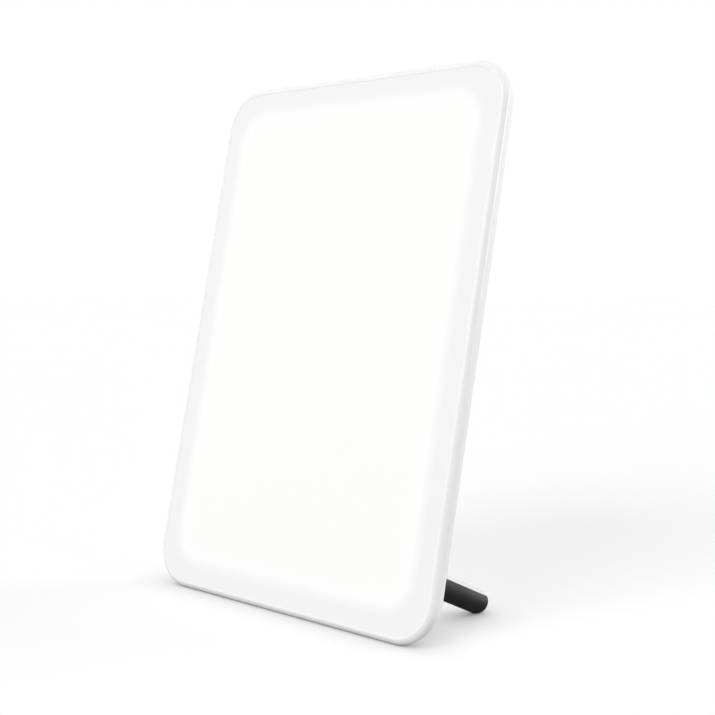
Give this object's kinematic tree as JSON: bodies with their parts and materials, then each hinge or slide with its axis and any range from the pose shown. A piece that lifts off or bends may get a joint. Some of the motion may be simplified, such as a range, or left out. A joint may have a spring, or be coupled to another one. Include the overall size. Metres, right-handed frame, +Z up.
{
  "type": "light therapy lamp",
  "caption": "Slim upright light therapy panel with a wide glowing diffuser, leaning back on two short round plug-in legs.",
  "frame": {"origin": "on the ground, under the middle of the standing lamp's overall box", "axes": "+Z up, the lit face looks along -Y and slightly up, +X to the right as seen from the front"},
  "size_m": [0.25, 0.0972, 0.352],
  "materials": {
    "frame_white": "satin white moulded plastic",
    "cover_white": "fine-textured white moulded plastic",
    "opal_diffuser": "opal acrylic sheet, satin face",
    "tape_white": "double-sided foam tape",
    "clear_film": "clear film, smooth",
    "haze_film": "hazy diffusing film",
    "clear_acrylic": "clear acrylic with a printed dot pattern",
    "reflector_white": "matt white reflector film",
    "tray_aluminium": "mill-finish sheet",
    "brass_parts": "turned brass",
    "steel_screws": "zinc-plated steel",
    "strip_white": "white solder mask",
    "led_package": "white package with a yellow phosphor face",
    "wire_white": "insulated wire",
    "wire_red": "insulated wire",
    "wire_black": "insulated wire",
    "rubber_grey": "soft moulded rubber",
    "socket_grey": "dark grey moulded plastic",
    "leg_white": "satin white moulded plastic",
    "grip_grey": "dark grey soft-touch overmould, satin",
    "button_grey": "satin grey moulded plastic",
    "circuit_board": "green solder mask",
    "ferrite": "sintered ferrite",
    "copper_wire": "enamelled copper wire",
    "capacitor_cans": "drawn aluminium cans",
    "chip_black": "black moulded packages",
    "connector_white": "natural nylon",
    "jack_black": "black moulded plastic",
    "jack_spring": "nickel-plated spring strip"
  },
  "bodies": {
    "panel": {"front_frame": "frame_white", "diffuser_panel": "opal_diffuser", "panel_tape": "tape_white", "uv_filter": "clear_film", "diffuser_film": "haze_film", "light_guide": "clear_acrylic", "reflector_sheet": "reflector_white", "back_tray": "tray_aluminium", "case_standoffs": "brass_parts", "board_standoffs": "brass_parts", "led_strip_right": "strip_white", "led_strip_top": "strip_white", "led_strip_left": "strip_white", "led_strip_bottom": "strip_white", "led_chips_right": "led_package", "led_chips_top": "led_package", "led_chips_left": "led_package", "led_chips_bottom": "led_package", "strip_jumpers": "wire_white", "rear_cover": "cover_white", "foot_strips": "rubber_grey", "case_screws": "steel_screws", "leg_socket_lower_left": "socket_grey", "leg_socket_lower_right": "socket_grey", "leg_socket_upper_left": "socket_grey", "leg_socket_upper_right": "socket_grey", "driver_board": "circuit_board", "board_screws": "steel_screws", "coil_core": "ferrite", "coil_winding": "copper_wire", "driver_capacitors": "capacitor_cans", "driver_chips": "chip_black", "lead_connectors": "connector_white", "tact_switch": "chip_black", "dc_jack_body": "jack_black", "dc_jack_pin": "brass_parts", "dc_jack_spring": "jack_spring", "inlet_lead_red": "wire_red", "inlet_lead_black": "wire_black", "light_lead_plus": "wire_red", "light_lead_minus": "wire_black"},
    "leg_left": {"leg_left": "leg_white", "leg_grip_left": "grip_grey"},
    "leg_right": {"leg_right": "leg_white", "leg_grip_right": "grip_grey"},
    "power_button": {"power_button": "button_grey", "switch_plunger": "connector_white"}
  },
  "joints": [
    {"name": "left_leg_pull", "type": "slide", "parent": "panel", "child": "leg_left", "axis": [0, 0.9755, -0.2198], "range_m": [0, 0.012]},
    {"name": "right_leg_pull", "type": "slide", "parent": "panel", "child": "leg_right", "axis": [0, 0.9755, -0.2198], "range_m": [0, 0.012]},
    {"name": "power_button_press", "type": "slide", "parent": "panel", "child": "power_button", "axis": [0, -0.9755, 0.2198], "range_m": [0, 0.0005], "stiffness_N_per_m": 600, "springref_m": -0.0005}
  ]
}
